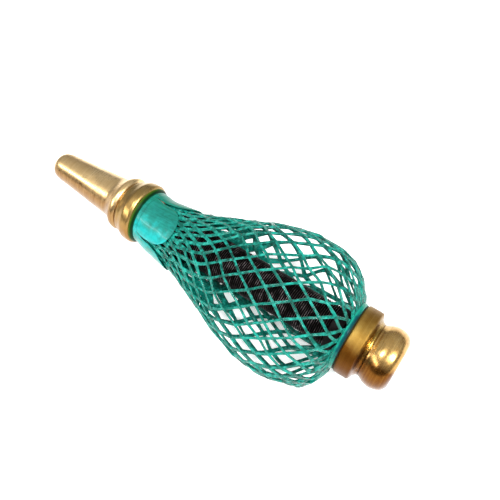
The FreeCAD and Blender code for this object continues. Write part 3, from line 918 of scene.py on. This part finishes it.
# ------------------------------------------------------------------ neck sleeve
SLEEVE = Curve1([(62.95, 13.76), (66.6, 13.97), (72.7, 14.6), (78.4, 15.5), (81.5, 16.05), (85.4, 16.8)])
TIP0, TIP1 = 71.5, 85.1
SL_T = 0.62
verts, faces = [], []


def lobe_half(x):
    """Half angle of a lobe at x: a narrow slit between neighbours, then a round end."""
    h = math.radians(44.3 - 2.6 * ease(66.0, 74.0, x))
    if x <= TIP0:
        return h
    u = (x - TIP0) / (TIP1 - TIP0)
    return h * math.sqrt(max(0.0, 1 - u ** 2.25))


nu, nv_ = 64, 72
LOBE0 = math.radians(22.5)
wob = random.Random(77)
DENTS = [(wob.uniform(65, 84), wob.uniform(0, 2 * math.pi), wob.uniform(0.7, 1.7), wob.uniform(-0.11, 0.07)) for _ in range(170)]


def dents(x, a):
    """Soft dimples and puckers of the film."""
    d = 0.0
    for sx, sa, sg, k in DENTS:
        da = (a - sa + math.pi) % (2 * math.pi) - math.pi
        q = ((x - sx) ** 2 * 0.35 + (14.6 * da) ** 2) / (sg * sg)
        if q < 5:
            d += k * math.exp(-q)
    return d


for lobe in range(4):
    c0 = LOBE0 + lobe * math.pi / 2
    lift = [-0.25, 0.15, 0.0, -0.42][lobe]
    base = len(verts)
    xs = [64.9 + (TIP1 - 0.02 - 64.9) * math.sin(0.5 * math.pi * i / nu) for i in range(nu + 1)]
    for side in (1, 0):
        for i, x in enumerate(xs):
            hw = lobe_half(x)
            for k in range(nv_ + 1):
                f = -1 + 2 * k / nv_
                f = math.sin(f * math.pi / 2) if abs(f) < 2 else f
                a = c0 + hw * f
                tipu = max(0.0, (x - 72.0) / (TIP1 - 72.0))
                r = float(SLEEVE(x)) + lift * tipu ** 2 + 0.07 * math.sin(7 * a + 0.35 * x) * tipu
                r += dents(x, a) * min(1.0, (x - 64.9) / 6.0)
                edge = 1 - min(1.0, (1 - abs(f)) * 9) * min(1.0, (TIP1 - x) / 1.2)
                t = SL_T * (1 - 0.55 * edge)
                r2 = r if side else r - t
                if side:
                    r2 = r - 0.25 * SL_T * edge
                dy, dz = lie(x)
                verts.append((x * MM, (dy - r2 * math.sin(a)) * MM, (dz + r2 * math.cos(a)) * MM))
    row = nv_ + 1
    cnt = (nu + 1) * row
    for i in range(nu):
        for k in range(nv_):
            a = base + i * row + k
            faces.append((a, a + row, a + row + 1, a + 1))
            b = a + cnt
            faces.append((b, b + 1, b + row + 1, b + row))
    for i in range(nu):
        for k in (0, nv_):
            a = base + i * row + k
            b = a + cnt
            faces.append((a, b, b + row, a + row) if k == 0 else (a, a + row, b + row, b))
    for i in (0, nu):
        for k in range(nv_):
            a = base + i * row + k
            b = a + cnt
            faces.append((a, a + 1, b + 1, b) if i == 0 else (a, b, b + 1, a + 1))
# front hoop of the sleeve
hoop = fillet([(62.97, 13.1, 0.1), (62.97, 13.76, 0.3), (65.4, 13.88, 0.25), (65.4, 13.1, 0.1)], steps=4)
base = len(verts)
seg = 160
for i in range(seg):
    a = 2 * math.pi * i / seg
    for x, r in hoop:
        dy, dz = lie(x)
        verts.append((x * MM, (dy - r * math.sin(a)) * MM, (dz + r * math.cos(a)) * MM))
m = len(hoop)
for i in range(seg):
    j = (i + 1) % seg
    for k in range(m):
        l = (k + 1) % m
        faces.append((base + i * m + k, base + i * m + l, base + j * m + l, base + j * m + k))
sleeve = new_object("neck_sleeve_lobes", verts, faces, M_SLEEVE)
bm = bmesh.new(); bm.from_mesh(sleeve.data)
bmesh.ops.recalc_face_normals(bm, faces=bm.faces)
bm.to_mesh(sleeve.data); bm.free()
sleeve.data.polygons.foreach_set("use_smooth", [True] * len(sleeve.data.polygons))
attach(sleeve, "front"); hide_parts("neck_sleeve")

# ------------------------------------------------------------------ CAD nodes that stay
KEEP = {
    "nozzle_seal_ring": M_GASKET, "outlet_valve_seat": M_TAIL, "outlet_valve_disc": M_VALVE,
    "outlet_valve_cage": M_TAIL, "net_crimp_ring": M_COPPER, "front_core_clamp": M_CLAMP,
    "rear_core_clamp": M_CLAMP, "inlet_valve_seat": M_TAIL, "inlet_valve_disc": M_VALVE,
    "inlet_valve_cage": M_TAIL, "intake_screen": M_STEEL,
}
for name, mat in KEEP.items():
    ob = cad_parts[name]
    for s in ob.material_slots:
        s.material = mat
    if not ob.material_slots:
        ob.data.materials.append(mat)

# ------------------------------------------------------------------ floor and light
fm = Nodes("floor")
fm.set(color=fm.ramp(fm.noise(3.0, 2.0), [(0.3, (0.90, 0.90, 0.90)), (0.7, (0.93, 0.93, 0.93))]), rough=0.75)
fm.bsdf.inputs["Emission Color"].default_value = (1, 1, 1, 1)
fm.bsdf.inputs["Emission Strength"].default_value = 0.30
floor_z = min((v.co.z for v in net.data.vertices)) - 0.0001
bpy.ops.mesh.primitive_plane_add(size=6, location=(0.1, 0, floor_z))
floor = bpy.context.active_object
floor.name = "floor"
floor.data.materials.append(fm.mat)

world = bpy.data.worlds.new("studio")
bpy.context.scene.world = world
world.use_nodes = True
wt = world.node_tree
bg = wt.nodes["Background"]
wtc = wt.nodes.new("ShaderNodeTexCoord")
wsep = wt.nodes.new("ShaderNodeSeparateXYZ")
wt.links.new(wtc.outputs["Generated"], wsep.inputs["Vector"])
wramp = wt.nodes.new("ShaderNodeValToRGB")
we = wramp.color_ramp.elements
we[0].position, we[0].color = 0.0, (0.25, 0.24, 0.23, 1)
we[1].position, we[1].color = 0.85, (0.72, 0.72, 0.72, 1)
wm = we.new(0.45)
wm.color = (0.56, 0.56, 0.56, 1)
wt.links.new(wsep.outputs["Z"], wramp.inputs["Fac"])
wt.links.new(wramp.outputs["Color"], bg.inputs["Color"])
bg.inputs["Strength"].default_value = 0.93


def area(name, loc, target, size, size_y, power, color=(1, 1, 1)):
    d = bpy.data.lights.new(name, "AREA")
    d.shape = "RECTANGLE"
    d.size, d.size_y = size, size_y
    d.energy = power
    d.color = color
    o = bpy.data.objects.new(name, d)
    bpy.context.collection.objects.link(o)
    o.location = loc
    o.rotation_euler = (Vector(target) - Vector(loc)).to_track_quat("-Z", "Y").to_euler()
    return o


area("key_strip", (-0.525, -0.82, 0.60), (-0.1, 0, 0), 1.15, 0.09, 9.0)
area("top_lamp", (-0.10, -0.30, 0.88), (0.10, 0, 0), 0.15, 0.15, 6.0)
area("rear_lamp", (0.80, -0.14, 0.78), (0.15, 0, 0), 0.15, 0.34, 13.0)
